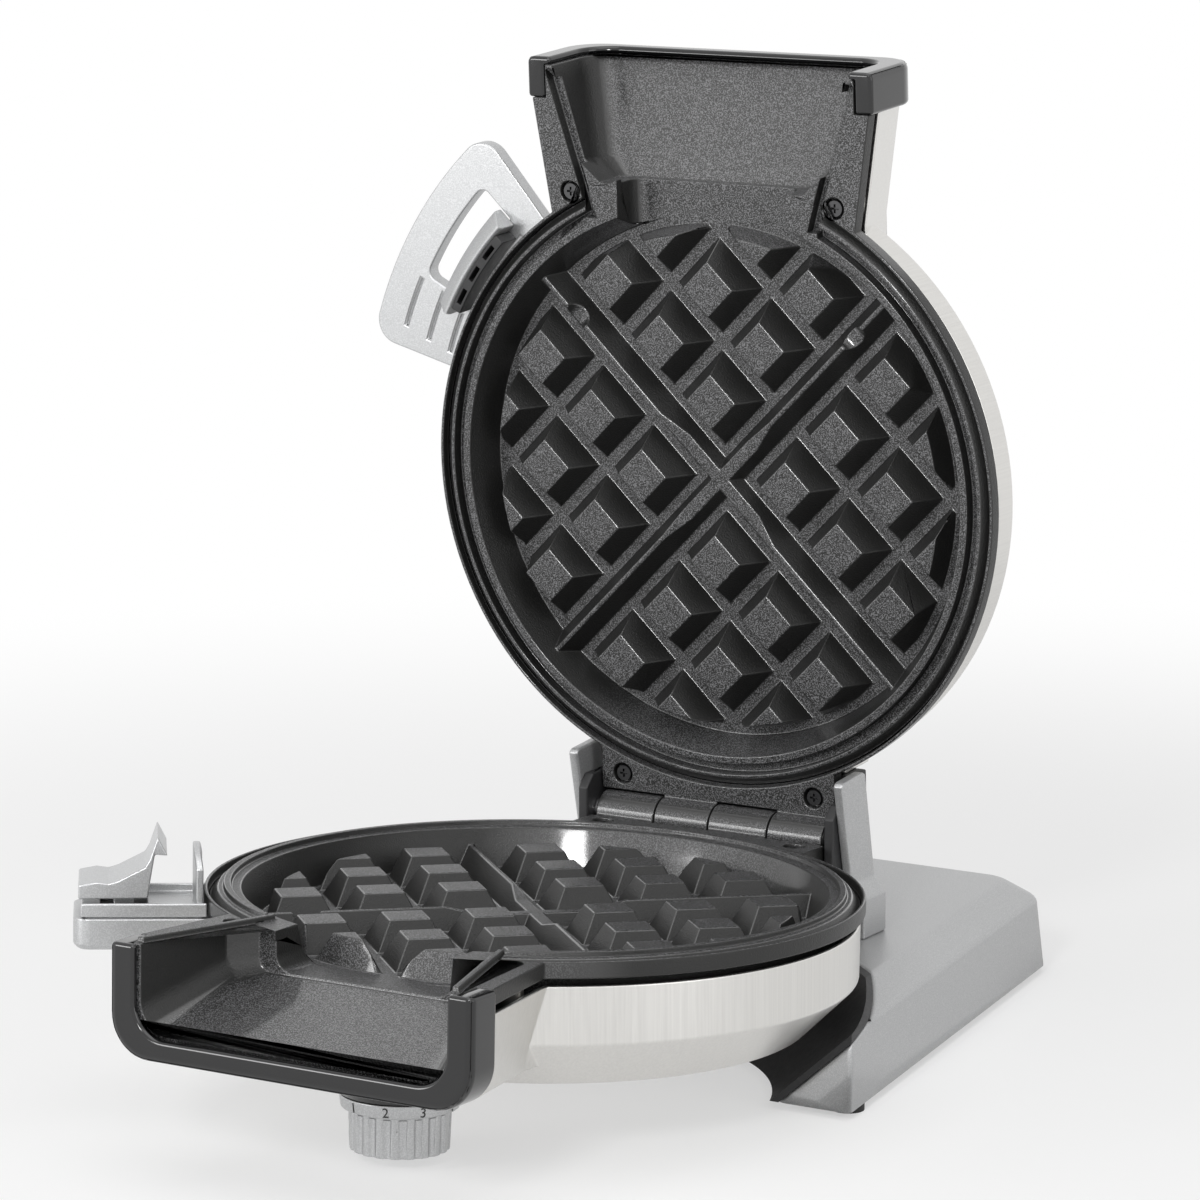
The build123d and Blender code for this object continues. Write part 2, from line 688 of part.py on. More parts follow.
turn_r = LATCH_PIN_R + SPRING_WIRE_R
spring_axis = Axis(latch_side.from_local_coords((LATCH_PIN_AT[0], LATCH_PIN_AT[1], 0)), latch_side.z_dir)
with BuildPart() as latch_spring:
    turn_face = Plane(origin=spring_axis.position, x_dir=latch_side.x_dir, z_dir=-latch_side.y_dir)
    with BuildSketch(turn_face):
        for turn in range(4):
            with Locations((turn_r + 0.05, LEVER_FOOT_HALF + 0.8 + turn * 1.8 * SPRING_WIRE_R)):
                Rectangle(2 * SPRING_WIRE_R, 2 * SPRING_WIRE_R)
    revolve(axis=spring_axis)
    with BuildSketch(latch_side.offset(LEVER_FOOT_HALF + 0.8)):
        with Locations((LATCH_PIN_AT[0] + turn_r, (LATCH_PIN_AT[1] + POCKET_FLOOR) / 2)):
            Rectangle(1.6 * SPRING_WIRE_R, LATCH_PIN_AT[1] - POCKET_FLOOR)
    extrude(amount=SPRING_WIRE_R, both=True)
keep(latch_spring, "latch_spring")

# Temperature control under the front half: dial bezel, knob, spindle and thermostat
with BuildPart() as dial_bezel:
    with BuildSketch(front.offset(BEZEL_BACK)):
        with Locations((0, KNOB_V)):
            Circle(BEZEL_R - 2)
    extrude(amount=3, taper=-33)
    with BuildSketch(front.offset(BEZEL_BACK + 3)):
        with Locations((0, KNOB_V)):
            Circle(BEZEL_R)
    extrude(amount=16)
    add(cover_form(front, FRONT_BAND), mode=Mode.SUBTRACT)
    with BuildSketch(front.offset(BEZEL_BACK)):
        with Locations((0, KNOB_V)):
            Circle(SPINDLE_R + 1)
    extrude(amount=20, mode=Mode.SUBTRACT)
keep(dial_bezel, "dial_bezel")

with BuildPart() as control_knob:
    with BuildSketch(front.offset(KNOB_TOP)):
        with Locations((0, KNOB_V)):
            Circle(KNOB_SKIRT_R)
    extrude(amount=-4, taper=8)
    with BuildSketch(front.offset(KNOB_TOP - 4)):
        with Locations((0, KNOB_V)):
            Circle(KNOB_R + 0.6)
    extrude(amount=KNOB_END - KNOB_TOP + 4, taper=2)
    with BuildSketch(front.offset(KNOB_END)):
        with Locations((0, KNOB_V)):
            with PolarLocations(KNOB_R + 1.2, 20):
                Circle(1.6)
    extrude(amount=KNOB_TOP - 5 - KNOB_END, mode=Mode.SUBTRACT)
    with BuildSketch(front.offset(KNOB_TOP)):
        with Locations((0, KNOB_V)):
            Circle(SPINDLE_R)
    extrude(amount=-12, mode=Mode.SUBTRACT)
keep(control_knob, "control_knob")

with BuildPart() as thermostat_spindle:
    with BuildSketch(front.offset(THERMOSTAT_TOP - 5)):
        with Locations((0, KNOB_V)):
            Circle(SPINDLE_R)
    extrude(amount=KNOB_TOP - 12 - THERMOSTAT_TOP + 5)
keep(thermostat_spindle, "thermostat_spindle")

with BuildPart() as thermostat:
    with BuildSketch(front.offset(FRONT_FLOOR)):
        with Locations((0, KNOB_V - 2)):
            RectangleRounded(26, 18, 3)
    extrude(amount=THERMOSTAT_TOP - FRONT_FLOOR)
    with BuildSketch(front.offset(FRONT_FLOOR)):
        with Locations((0, KNOB_V)):
            Circle(SPINDLE_R + RUNNING_GAP)
    extrude(amount=THERMOSTAT_TOP - 4.8 - FRONT_FLOOR, mode=Mode.SUBTRACT)
keep(thermostat, "thermostat")

for at, label in zip(LAMP_AT, ("power_light", "ready_light")):
    with BuildPart() as lamp:
        with BuildSketch(front.offset(FRONT_FLOOR)):
            with Locations(at):
                Circle(LAMP_R + 1.2)
        extrude(amount=2)
        with BuildSketch(front.offset(FRONT_FLOOR)):
            with Locations(at):
                Circle(LAMP_R)
        extrude(amount=-2.6, taper=10)
    keep(lamp, label)


def base_outline(corners, inset, rear_round):
    """four-cornered plan of the base, wider at the front, with its rear corners rounded"""
    (rear_x, rear_y), (front_x, front_y) = corners
    with BuildSketch() as plan:
        with BuildLine():
            Polyline(
                (inset - rear_x, rear_y - inset), (rear_x - inset, rear_y - inset),
                (front_x - inset, front_y + inset), (inset - front_x, front_y + inset), close=True,
            )
        make_face()
        fillet(plan.vertices().filter_by(lambda at: at.Y > 0), rear_round)
    return plan.sketch


def base_form(inset):
    """solid form of the base: a tapered skirt under a bevelled top"""
    with BuildPart() as form:
        for z, corners in ((FOOT_Z, BASE_BOTTOM), (SIDE_Z, BASE_SIDE)):
            with BuildSketch(Plane.XY.offset(z)):
                add(base_outline(corners, inset, 9 - inset))
        loft(ruled=True)
        for z, corners in ((SIDE_Z, BASE_SIDE), (TOP_Z - inset, BASE_TOP)):
            with BuildSketch(Plane.XY.offset(z)):
                add(base_outline(corners, inset, 9 - inset))
        loft(ruled=True)
    return form.part


def scoop(grown):
    """cone that clears the front half's rounded back, about the middle of its disc"""
    low = SCOOP_R + grown - SCOOP_GROWTH * SIDE_Z
    high = SCOOP_R + grown + SCOOP_GROWTH * (40 - SIDE_Z)
    with BuildPart() as cone:
        with BuildSketch(Plane.XZ.offset(DISC_V)):
            with BuildLine():
                Polyline((0, 0), (low, 0), (high, 40), (0, 40), close=True)
            make_face()
        revolve(axis=Axis((0, -DISC_V, 0), (0, 0, 1)))
    return cone.part


with BuildPart() as base_shell:
    add(base_form(0))
    add(scoop(LINER), mode=Mode.SUBTRACT)
    with BuildPart(mode=Mode.PRIVATE) as hollow:
        add(base_form(BASE_WALL))
        add(scoop(LINER + 1.5 * BASE_WALL), mode=Mode.SUBTRACT)
    add(hollow.part, mode=Mode.SUBTRACT)
    with BuildSketch(Plane.XY.offset(FOOT_Z + BASE_COVER)):
        with Locations(*BOSSES):
            Circle(4)
    extrude(amount=TOP_Z - 1.4 - FOOT_Z - BASE_COVER)
    with BuildSketch(Plane.XY.offset(FOOT_Z)):
        with Locations(*BOSSES):
            Circle(1.6)
    extrude(amount=14, mode=Mode.SUBTRACT)
    with BuildSketch(Plane.XZ.offset(-90)):
        with Locations((0, GLAND_Z)):
            Circle(GLAND_R)
    extrude(amount=-20, mode=Mode.SUBTRACT)
keep(base_shell, "base_shell")

with BuildPart() as front_arch_liner:
    add(base_form(0))
    with BuildPart(mode=Mode.PRIVATE) as liner_layer:
        add(scoop(LINER))
        add(scoop(0), mode=Mode.SUBTRACT)
    add(liner_layer.part, mode=Mode.INTERSECT)
keep(front_arch_liner, "front_arch_liner")

with BuildPart() as base_bottom_cover:
    add(base_form(BASE_WALL))
    add(scoop(LINER + 1.5 * BASE_WALL), mode=Mode.SUBTRACT)
    with BuildSketch(Plane.XY.offset(FOOT_Z + BASE_COVER)):
        Rectangle(300, 300)
    extrude(amount=60, mode=Mode.SUBTRACT)
    with BuildSketch(Plane.XY.offset(FOOT_Z)):
        with Locations(*BOSSES):
            Circle(1.8)
    extrude(amount=3, mode=Mode.SUBTRACT)
keep(base_bottom_cover, "base_bottom_cover")

with BuildPart() as base_screws:
    with BuildSketch(Plane.XY.offset(FOOT_Z)):
        with Locations(*BOSSES):
            Circle(3)
    extrude(amount=-1.4)
    with BuildSketch(Plane.XY.offset(FOOT_Z)):
        with Locations(*BOSSES):
            Circle(1.55)
    extrude(amount=11)
keep(base_screws, "base_screws")

with BuildPart() as rubber_feet:
    with BuildSketch():
        with Locations(*FEET):
            Circle(5)
    extrude(amount=FOOT_Z)
keep(rubber_feet, "rubber_feet")

with BuildPart() as cord_gland:
    with BuildSketch(Plane.XZ.offset(-94)):
        with Locations((0, GLAND_Z)):
            Circle(GLAND_R)
    extrude(amount=-13)
    with BuildSketch(Plane.XZ.offset(-BASE_BOTTOM[0][1])):
        with Locations((0, GLAND_Z)):
            Circle(GLAND_R + 2)
    extrude(amount=-1.6)
    with BuildSketch(Plane.XZ.offset(-93)):
        with Locations((0, GLAND_Z)):
            Circle(2.6)
    extrude(amount=-15, mode=Mode.SUBTRACT)
keep(cord_gland, "cord_gland")

# Hinge: bracket on the base, pin, washers and the two outer arms
with BuildPart() as pivot_bracket:
    with BuildSketch(Plane.XY.offset(TOP_Z)):
        with Locations((0, (PLINTH_FRONT + 24) / 2)):
            Rectangle(2 * PLINTH_X, 24 - PLINTH_FRONT)
    extrude(amount=PLINTH_Z - TOP_Z)
    with BuildSketch(side_plane(rear).offset(-PLINTH_X)):
        with BuildLine():
            Polyline(
                (REAR_NECK_V, FLANGE_BACK), (9, FLANGE_BACK), (9, -7.8), (-22, -7.8), (-22, -16),
                (REAR_NECK_V, -16), close=True,
            )
        make_face()
    extrude(amount=2 * PLINTH_X)
    add(cover_form(rear, REAR_BAND), mode=Mode.SUBTRACT)
    with BuildSketch(disc_plane(rear).offset(FLANGE_BACK)):
        Circle(BODY_R + 0.5)
    extrude(amount=COVER_TOP - FLANGE_BACK, mode=Mode.SUBTRACT)
    for side in (-1, 1):
        with BuildSketch(Plane.YZ.offset(side * (CHEEK_X + ARM_X) / 2)):
            with BuildLine():
                Polyline(
                    (14, PLINTH_Z), (14, 71), (9, 75), (-5, 75), (-9, 71), (-9, PLINTH_Z + 8),
                    (PLINTH_FRONT, PLINTH_Z), close=True,
                )
            make_face()
            with Locations((0, HINGE_Z)):
                Circle(PIN_R, mode=Mode.SUBTRACT)
        extrude(amount=(ARM_X - CHEEK_X) / 2, both=True)
    with BuildSketch(rear.offset(FLANGE_BACK)):
        with Locations(*SCREWS[2:]):
            Circle(SHANK_R + 0.05)
    extrude(amount=-9.5, mode=Mode.SUBTRACT)
keep(pivot_bracket, "pivot_bracket")

with BuildPart() as hinge_pin:
    with BuildSketch(Plane.YZ.offset(0.2 - ARM_X)):
        with Locations((0, HINGE_Z)):
            Circle(PIN_R)
    extrude(amount=2 * ARM_X - 0.4)
keep(hinge_pin, "hinge_pin")

with BuildPart() as hinge_washers:
    for x in (-43.2, 41.7):
        with BuildSketch(Plane.YZ.offset(x)):
            with Locations((0, HINGE_Z)):
                Circle(4.8)
                Circle(PIN_R, mode=Mode.SUBTRACT)
        extrude(amount=1.5)
keep(hinge_washers, "hinge_washers")

for side, label in ((-1, "left_arm"), (1, "right_arm")):
    with BuildPart() as arm:
        with BuildSketch(Plane.YZ.offset(side * (ARM_X + ARM_OUT_X) / 2)):
            with BuildLine():
                Polyline(
                    (-9.7, 82.3), (-8.0, 83.4), (4.0, 84.4), (6.2, 83.8), (13.4, 49), (-2, 49), close=True,
                )
            make_face()
        extrude(amount=(ARM_OUT_X - ARM_X) / 2, both=True)
        for z, low_y, high_y, inner, outer in ((49, -2, 13.4, ARM_X, ARM_OUT_X), (PLINTH_Z, -1, 14, ARM_X, 54)):
            with BuildSketch(Plane.XY.offset(z)):
                with Locations((side * (inner + outer) / 2, (low_y + high_y) / 2)):
                    Rectangle(outer - inner, high_y - low_y)
        loft(ruled=True)
        with BuildSketch(Plane.XY.offset(TOP_Z)):
            with Locations((side * (PLINTH_X + 54) / 2, 6.5)):
                Rectangle(54 - PLINTH_X, 15)
        extrude(amount=PLINTH_Z - TOP_Z)
    keep(arm, label)
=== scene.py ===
import bmesh
import bpy
import json
from math import cos, pi, radians, sin
from mathutils import Matrix, Vector

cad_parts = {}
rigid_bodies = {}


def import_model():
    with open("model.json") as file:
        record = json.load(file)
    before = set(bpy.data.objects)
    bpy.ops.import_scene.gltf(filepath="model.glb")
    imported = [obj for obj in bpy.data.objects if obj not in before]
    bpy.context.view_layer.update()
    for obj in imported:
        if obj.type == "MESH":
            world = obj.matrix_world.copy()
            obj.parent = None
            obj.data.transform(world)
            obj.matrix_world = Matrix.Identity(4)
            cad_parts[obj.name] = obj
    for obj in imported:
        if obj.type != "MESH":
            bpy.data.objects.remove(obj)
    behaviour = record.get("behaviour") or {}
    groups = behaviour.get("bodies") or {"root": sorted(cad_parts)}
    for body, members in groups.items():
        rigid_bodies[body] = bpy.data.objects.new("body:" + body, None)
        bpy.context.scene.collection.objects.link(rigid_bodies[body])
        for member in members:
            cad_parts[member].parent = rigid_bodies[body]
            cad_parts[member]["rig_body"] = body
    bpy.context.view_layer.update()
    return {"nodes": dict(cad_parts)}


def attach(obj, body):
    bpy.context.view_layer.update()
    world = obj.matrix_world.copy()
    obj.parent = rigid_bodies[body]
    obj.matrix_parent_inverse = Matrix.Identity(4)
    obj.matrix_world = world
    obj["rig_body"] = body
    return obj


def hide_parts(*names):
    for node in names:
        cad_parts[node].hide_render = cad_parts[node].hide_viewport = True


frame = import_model()

# The room: a plain pale floor that fades into a white backdrop, seen through the
# photograph's long lens from the right of the object and a little above it.
LENS_MM = 154.76
SENSOR_MM = 36.0
SHIFT_ACROSS = -0.00274
SHIFT_UP = -0.00265
SEES_TO = 30
EYE = Vector((0.792523, -1.404136, 0.446448))
TURN = radians(30.746)
DROP = radians(10.879)
camera_data = bpy.data.cameras.new("camera")
camera_data.sensor_width = SENSOR_MM
camera_data.lens = LENS_MM
camera_data.shift_x = SHIFT_ACROSS
camera_data.shift_y = SHIFT_UP
camera_data.clip_end = SEES_TO
camera = bpy.data.objects.new("camera", camera_data)
bpy.context.scene.collection.objects.link(camera)
look = Vector((-sin(TURN) * cos(DROP), cos(TURN) * cos(DROP), -sin(DROP)))
camera.matrix_world = Matrix.Translation(EYE) @ look.to_track_quat("-Z", "Y").to_matrix().to_4x4()
bpy.context.scene.camera = camera
bpy.context.scene.view_settings.view_transform = "Standard"


class Value:
    """One socket of a node tree, with the sums that the finishes are written in."""

    def __init__(self, nodes, socket):
        self.nodes = nodes
        self.socket = socket

    def sum(self, operation, first, second):
        return self.nodes.node("ShaderNodeMath", {"operation": operation}, {0: first, 1: second})

    def larger(self, other):
        return self.sum("MAXIMUM", self, other)

    def __abs__(self):
        return self.sum("ABSOLUTE", self, 0.0)

    def __add__(self, other):
        return self.sum("ADD", self, other)

    def __rsub__(self, other):
        return self.sum("SUBTRACT", other, self)

    def __mul__(self, other):
        return self.sum("MULTIPLY", self, other)

    __radd__ = __add__
    __rmul__ = __mul__


class Nodes:
    """A node tree, to which nodes are added by their kind, settings and sockets."""

    def __init__(self, tree):
        self.tree = tree

    def join(self, socket, value):
        if isinstance(value, Value):
            self.tree.links.new(value.socket, socket)
        else:
            socket.default_value = value

    def node(self, kind, settings, sockets, output=0):
        node = self.tree.nodes.new(kind)
        for name, value in settings.items():
            setattr(node, name, value)
        for socket, value in sockets.items():
            self.join(node.inputs[socket], value)
        return Value(self, node.outputs[output])

    def step(self, value, low, high):
        """0 below low, 1 above high, smooth between"""
        return self.node(
            "ShaderNodeMapRange", {"interpolation_type": "SMOOTHSTEP"}, {0: value, 1: low, 2: high}
        )

    def shows_backdrop(self):
        """1 for a ray that shows the room: straight, off bright metal or through a lens"""
        rays = [
            self.node("ShaderNodeLightPath", {}, {}, "Is " + kind + " Ray")
            for kind in ("Camera", "Glossy", "Transmission")
        ]
        return rays[0].larger(rays[1]).larger(rays[2])


class Finish(Nodes):
    """A material: constants go on the shader's own sockets, patterns are linked to them."""

    def __init__(self, name, colour, roughness, metallic=0.0, **constants):
        self.material = bpy.data.materials.new(name)
        self.material.use_nodes = True
        super().__init__(self.material.node_tree)
        self.shader = self.tree.nodes["Principled BSDF"]
        self.set("Base Color", (*colour, 1))
        self.set("Roughness", roughness)
        self.set("Metallic", metallic)
        for socket, value in constants.items():
            self.set(socket.replace("_", " "), value)
        self.place = self.node("ShaderNodeTexCoord", {}, {}, "Object")

    def set(self, socket, value):
        self.join(self.shader.inputs[socket], value)

    def noise(self, scale, detail=2.0, place=None):
        """0 to 1, with so many lumps to the metre"""
        return self.node(
            "ShaderNodeTexNoise", {}, {"Vector": place or self.place, "Scale": scale, "Detail": detail}
        )

    def mix(self, factor, first, second):
        return self.node(
            "ShaderNodeMix", {"data_type": "RGBA"}, {0: factor, 6: (*first, 1), 7: (*second, 1)}, 2
        )

    def uneven(self, smoothest, spread, pattern):
        """a gloss that varies with a pattern"""
        self.set("Roughness", smoothest + pattern * spread)

    def bump(self, height, distance):
        self.set("Normal", self.node("ShaderNodeBump", {}, {"Height": height, "Distance": distance}))

    def blend(self, factor, shader):
        """the surface passes over into another shader where the factor is 1"""
        principled = Value(self, self.shader.outputs[0])
        both = self.node("ShaderNodeMixShader", {}, {0: factor, 1: principled, 2: shader})
        self.join(self.tree.nodes["Material Output"].inputs["Surface"], both)


WHITE = (1, 1, 1, 1)
SHADOW_DEPTH = 0.5
SHADOW_NEAR = 0.25
SHADOW_FAR = 0.75


def backdrop_finish():
    """white paper that keeps the shadow near the object and is plain white farther off"""
    paper = Finish("backdrop_paper", (0.93, 0.93, 0.93), 0.9, Specular_IOR_Level=0.0)
    away = paper.node("ShaderNodeVectorMath", {"operation": "LENGTH"}, {0: paper.place}, "Value")
    plain = paper.node("ShaderNodeEmission", {}, {"Color": WHITE, "Strength": 1.0})
    bare = 1 - SHADOW_DEPTH * (1 - paper.step(away, SHADOW_NEAR, SHADOW_FAR))
    paper.blend(bare * paper.shows_backdrop(), plain)
    return paper.material


def in_scene(name, data, material):
    """an object made of a mesh and its material, standing in the scene"""
    data.materials.append(material)
    piece = bpy.data.objects.new(name, data)
    bpy.context.scene.collection.objects.link(piece)
    return piece


FLOOR_HALF = 6.0
mesh = bmesh.new()
bmesh.ops.create_grid(mesh, x_segments=1, y_segments=1, size=FLOOR_HALF)
floor_mesh = bpy.data.meshes.new("floor")
mesh.to_mesh(floor_mesh)
floor = in_scene("floor", floor_mesh, backdrop_finish())

AMBIENT = 0.35
world = bpy.data.worlds.new("room")
bpy.context.scene.world = world
world.use_nodes = True
sky = world.node_tree.nodes["Background"]
sky.inputs["Color"].default_value = WHITE
room = Nodes(world.node_tree)
room.join(sky.inputs["Strength"], AMBIENT + room.shows_backdrop() * (1 - AMBIENT))


def softbox(name, at, aim, size, watts):
    """a rectangular studio softbox, turned towards a point"""
    lamp = bpy.data.lights.new(name, "AREA")
    lamp.shape = "RECTANGLE"
    lamp.size, lamp.size_y = size
    lamp.energy = watts
    box = bpy.data.objects.new(name, lamp)
    bpy.context.scene.collection.objects.link(box)
    towards = (Vector(aim) - Vector(at)).to_track_quat("-Z", "Y")
    box.matrix_world = Matrix.Translation(Vector(at)) @ towards.to_matrix().to_4x4()


softbox("top", (0.1, -0.4, 1.7), (0, 0, 0.1), (1.6, 1.6), 10)
softbox("right", (1.8, -0.4, 0.8), (0, 0, 0.15), (0.9, 1.6), 6)
softbox("front_left", (-0.95, -1.5, 0.45), (0, 0, 0.16), (0.5, 0.7), 9)
softbox("edges", (0.42, -1.68, 0.98), (0, 0, 0.17), (0.3, 0.3), 10)

# Cooking plates: cast aluminium with a baked nonstick coating, charcoal with pale flecks.
# The flecks are painted only on faces that look to the front or up, as painted light, and
# the steep walls stay plain and dark as painted shade. The rounded edges are the smoothest
# part of the casting and catch the light.
MERGE = 0.00001
COPLANAR = radians(0.6)
HALVES = ("rear", "front")


def softened(node, width, finish, sharp=25.0, segments=2, rounded=lambda middle: True):
    """copy of a CAD piece whose flat faces are joined up and whose sharp edges are rounded,
    those whose middle passes the test"""
    source = frame["nodes"][node]
    mesh = bmesh.new()
    mesh.from_mesh(source.data)
    bmesh.ops.remove_doubles(mesh, verts=mesh.verts, dist=MERGE)
    bmesh.ops.dissolve_limit(
        mesh, angle_limit=COPLANAR, use_dissolve_boundaries=False, verts=mesh.verts, edges=mesh.edges
    )
    rims = [
        edge for edge in mesh.edges
        if edge.is_manifold and edge.calc_face_angle() > radians(sharp)
        and rounded((edge.verts[0].co + edge.verts[1].co) / 2)
    ]
    bmesh.ops.bevel(
        mesh, geom=rims, offset=width, offset_type="OFFSET", segments=segments, profile=0.5,
        affect="EDGES", clamp_overlap=False, material=-1,
    )
    for face in mesh.faces:
        face.smooth = True
    data = bpy.data.meshes.new(node + "_soft")
    mesh.to_mesh(data)
    piece = in_scene(node + "_soft", data, finish.material)
    piece.modifiers.new("flat faces stay flat", "WEIGHTED_NORMAL").keep_sharp = True
    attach(piece, source["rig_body"])
    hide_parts(node)
    return piece


NONSTICK = (0.016, 0.016, 0.0155)
# the pale fleck colour, which also serves as painted light on the faces looking to the front or up
FLECK_AND_PAINTED_LIGHT = (0.17, 0.17, 0.175)
coating = Finish(
    "nonstick_coating", NONSTICK, 0.4, Specular_IOR_Level=0.4, Coat_Roughness=0.1, Coat_IOR=1.6
)
normal = coating.node("ShaderNodeTexCoord", {}, {}, "Normal")
out, up = (abs(coating.node("ShaderNodeSeparateXYZ", {}, {0: normal}, axis)) for axis in "YZ")
facing = out.larger(up)
# pale flecks only where a face looks to the front or up: painted light on those faces, painted shade
# on the steep walls
flecks_and_painted_light = coating.step(coating.noise(2600), 0.47, 0.60) * coating.step(facing, 0.72, 0.95)
rounding = coating.step(facing, 0.66, 0.76) * (1 - coating.step(facing, 0.95, 0.99))
coating.set("Base Color", coating.mix(flecks_and_painted_light, NONSTICK, FLECK_AND_PAINTED_LIGHT))
coating.uneven(0.34, 0.1, coating.noise(45))
coating.set("Coat Weight", rounding * 0.7)
coating.bump(coating.noise(1900), 0.00015)

# Solid shoulders beside the throat, cast with the plate, where the groove round its rim
# ends. Their corners are places in the half's own plane: along the hinge, and out from it.
HINGE_UP = 0.062
REAR_LEAN = radians(3.77)
FRONT_RISE = radians(2.08)
SHOULDER = ((0.02995, 0.2020), (0.02995, 0.2074), (0.0402, 0.2034), (0.0386, 0.1980))
SHOULDER_TOP = -0.00017
SHOULDER_DEEP = 0.003
hinge = Matrix.Translation((0, 0, HINGE_UP))
half_frames = {
    "rear": hinge @ Matrix.Rotation(pi / 2 + REAR_LEAN, 4, "X"),
    "front": hinge @ Matrix.Rotation(pi, 4, "Z") @ Matrix.Rotation(FRONT_RISE, 4, "X"),
}


def shoulders(half):
    """two prisms that close the rim groove between the throat and the seal"""
    mesh = bmesh.new()
    for side in (-1, 1):
        corners = [mesh.verts.new((side * x, v, SHOULDER_TOP)) for x, v in SHOULDER]
        base = mesh.faces.new(corners)
        body = bmesh.ops.extrude_face_region(mesh, geom=[base])["geom"]
        low = [corner for corner in body if isinstance(corner, bmesh.types.BMVert)]
        bmesh.ops.translate(mesh, verts=low, vec=(0, 0, -SHOULDER_DEEP))
    bmesh.ops.transform(mesh, matrix=half_frames[half], verts=mesh.verts)
    bmesh.ops.recalc_face_normals(mesh, faces=mesh.faces)
    data = bpy.data.meshes.new(half + "_shoulders")
    mesh.to_mesh(data)
    return in_scene(half + "_shoulders", data, coating.material)


for half, body in (("rear", "stand"), ("front", "front_half")):
    softened(half + "_plate", 0.0005, coating)
    filled = shoulders(half)
    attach(filled, body)

# Covers: pressed stainless steel, brushed across the band and down the bevel. The hairs
# are a noise drawn out along the depth of each half's pan.
STEEL = (0.76, 0.75, 0.725)
STEEL_DARK = (0.62, 0.61, 0.59)
ACROSS_HAIR = 1500
ALONG_HAIR = 12
BRUSHINGS = {
    "rear": (ACROSS_HAIR, ALONG_HAIR, ACROSS_HAIR),
    "front": (ACROSS_HAIR, ACROSS_HAIR, ALONG_HAIR),
}
for half, brushing in BRUSHINGS.items():
    steel = Finish("brushed_steel_" + half, STEEL, 0.3, 1.0)
    drawn_out = steel.node("ShaderNodeMapping", {}, {"Vector": steel.place, "Scale": brushing})
    hairs = steel.noise(1, 4, drawn_out)
    steel.set("Base Color", steel.mix(hairs, STEEL_DARK, STEEL))
    steel.uneven(0.24, 0.18, hairs)
    steel.bump(hairs, 0.00005)
    softened(half + "_cover", 0.0006, steel, 20)

# Funnel trims: black plastic, moulded with a high gloss and generously rounded, clipped
# over the mouth of each half's funnel.
gloss = Finish("gloss_black", (0.006, 0.006, 0.0065), 0.12, Coat_Weight=0.3, Coat_Roughness=0.05)
gloss.uneven(0.08, 0.1, gloss.noise(60, 3))
for half in HALVES:
    softened(half + "_funnel_trim", 0.0012, gloss, 25, 3)


# Screws: zinc-plated pan heads, blackened, with a cross recess. They hold the plates to
# the covers and the bottom cover to the base.
def finished(node, finish):
    """a CAD piece that keeps its mesh and gets its finish"""
    source = frame["nodes"][node]
    source.data.materials.clear()
    source.data.materials.append(finish.material)


zinc = Finish("dark_zinc", (0.07, 0.07, 0.072), 0.38, 0.9)
zinc.uneven(0.3, 0.2, zinc.noise(900))
for node in ("rear_plate_screws", "front_plate_screws", "base_screws"):
    finished(node, zinc)

# Hinge: a bright steel pin with two washers, in a black bracket between two grey arms.
# The arms and the base share a silver paint with fine metal flakes.
bright = Finish("bright_steel", (0.62, 0.62, 0.63), 0.16, 1.0)
bright.uneven(0.12, 0.12, bright.noise(400, 3))
finished("hinge_pin", bright)
finished("hinge_washers", bright)
matte = Finish("matte_black", (0.018, 0.018, 0.019), 0.5)
matte.uneven(0.42, 0.2, matte.noise(500))
matte.bump(matte.noise(1400), 0.00005)
softened("pivot_bracket", 0.0006, matte)
SILVER = (0.48, 0.483, 0.49)
SILVER_DARK = (0.43, 0.435, 0.44)
SILVER_LIGHT = (0.53, 0.532, 0.535)
silver = Finish("silver_paint", SILVER, 0.38, 0.55)
flakes = silver.noise(3000)
silver.set("Base Color", silver.mix(silver.step(flakes, 0.45, 0.62), SILVER_DARK, SILVER_LIGHT))
silver.uneven(0.34, 0.12, flakes)
silver.bump(silver.noise(700), 0.00004)
for side in ("left", "right"):
    softened(side + "_arm", 0.0008, silver)

# Base: a moulded shell in the same silver paint on rubber feet, open in front, where a
# black lining follows the round back of the lowered half. A black cover closes it below.
BASE_RIM = 0.003
shell = softened("base_shell", 0.0016, silver, 22, 3, lambda middle: middle.z > BASE_RIM)
for node in ("front_arch_liner", "base_bottom_cover", "cord_gland"):
    finished(node, matte)
rubber = Finish("foot_rubber", (0.02, 0.02, 0.02), 0.75)
rubber.bump(rubber.noise(1200), 0.0001)
finished("rubber_feet", rubber)

# Rear handle: a cast silver plate with a window for the hook, three grooves for the
# fingers, a grey catch bar and a black slotted bracket.
PALE = (0.52, 0.525, 0.53)
PALE_DARK = (0.47, 0.475, 0.48)
PALE_LIGHT = (0.56, 0.565, 0.57)
pale = Finish("pale_silver", PALE, 0.33, 0.75)
grain = pale.noise(2600)
pale.set("Base Color", pale.mix(pale.step(grain, 0.45, 0.6), PALE_DARK, PALE_LIGHT))
pale.uneven(0.28, 0.12, grain)
pale.bump(grain, 0.00003)
softened("rear_handle", 0.0006, pale)
softened("catch_bar", 0.0005, silver)
softened("catch_bracket", 0.0003, matte)

# Latch: lug, tray and guard fin cast in silver, with a sprung lever on a steel pin. The
# lever's hook reaches through the window of the rear handle when the halves are shut.
for node in ("latch_housing", "latch_guard", "latch_lever"):
    softened(node, 0.0005, pale)
finished("latch_pin", bright)
finished("latch_spring", bright)

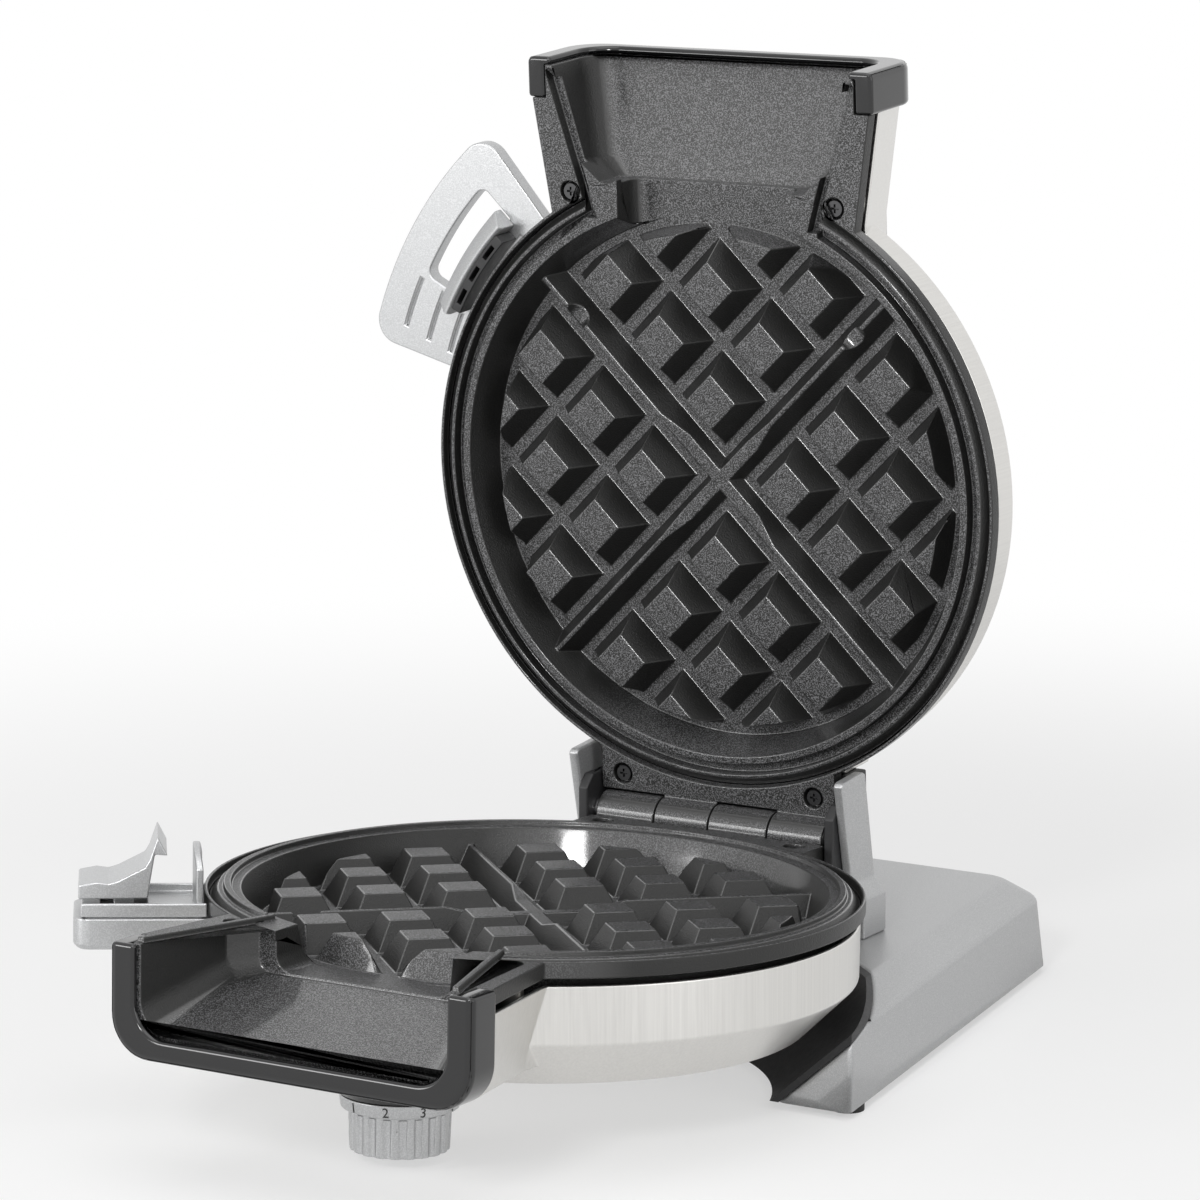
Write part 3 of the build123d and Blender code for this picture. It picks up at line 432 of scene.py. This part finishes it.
# Temperature control: a fluted knob under the front half, with five settings printed in
# black round its tapered skirt, and two small lenses beside it.
KNOB_OUT = 0.186
SKIRT_DOWN = -0.0503
SKIRT_R = 0.01776
SKIRT_DRAFT = radians(8)
SETTINGS = 5
SETTING_STEP = radians(36)
SETTING_TWO = radians(19)
DIGIT_TALL = 0.0042
DIGIT_THICK = 0.00004
finished("dial_bezel", gloss)
softened("control_knob", 0.0004, pale)
finished("thermostat_spindle", bright)
ink = Finish("black_ink", (0.015, 0.015, 0.015), 0.5)
ink.uneven(0.4, 0.2, ink.noise(900))


def printed(name, words, place):
    """thin letters of ink, just proud of the piece that they are printed on"""
    curve = bpy.data.curves.new(name, "FONT")
    curve.body = words
    curve.size = DIGIT_TALL
    curve.align_x = curve.align_y = "CENTER"
    curve.extrude = DIGIT_THICK
    letters = bpy.data.objects.new(name + "_curve", curve)
    mesh = bpy.data.meshes.new_from_object(letters)
    bpy.data.objects.remove(letters)
    mesh.transform(place)
    mesh.materials.clear()
    return in_scene(name, mesh, ink.material)


for setting in range(1, SETTINGS + 1):
    aside = SETTING_TWO + (setting - 2) * SETTING_STEP
    place = (
        half_frames["front"] @ Matrix.Translation((0, KNOB_OUT, SKIRT_DOWN))
        @ Matrix.Rotation(pi + aside, 4, "Z") @ Matrix.Translation((0, -SKIRT_R, 0))
        @ Matrix.Rotation(pi / 2 + SKIRT_DRAFT, 4, "X")
    )
    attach(printed("setting_%d" % setting, str(setting), place), "control_knob")
red = Finish("red_lens", (0.55, 0.02, 0.015), 0.12)
green = Finish("green_lens", (0.03, 0.35, 0.06), 0.12)
for lens, node in ((red, "power_light"), (green, "ready_light")):
    lens.uneven(0.1, 0.08, lens.noise(300))
    finished(node, lens)

# Inside the covers: heating tubes, bright shields, the cut-off and the thermostat, all
# closed in behind the plates.
sheath = Finish("tube_sheath", (0.23, 0.21, 0.20), 0.45, 0.9)
sheath.uneven(0.38, 0.2, sheath.noise(350, 3))
sheet_metal = Finish("bright_sheet", (0.75, 0.75, 0.76), 0.28, 1.0)
sheet_metal.uneven(0.22, 0.15, sheet_metal.noise(250, 3))
for half in HALVES:
    finished(half + "_heating_element", sheath)
    finished(half + "_heat_shield", sheet_metal)
finished("thermal_cutoff", matte)
finished("thermostat", matte)

bpy.context.view_layer.update()
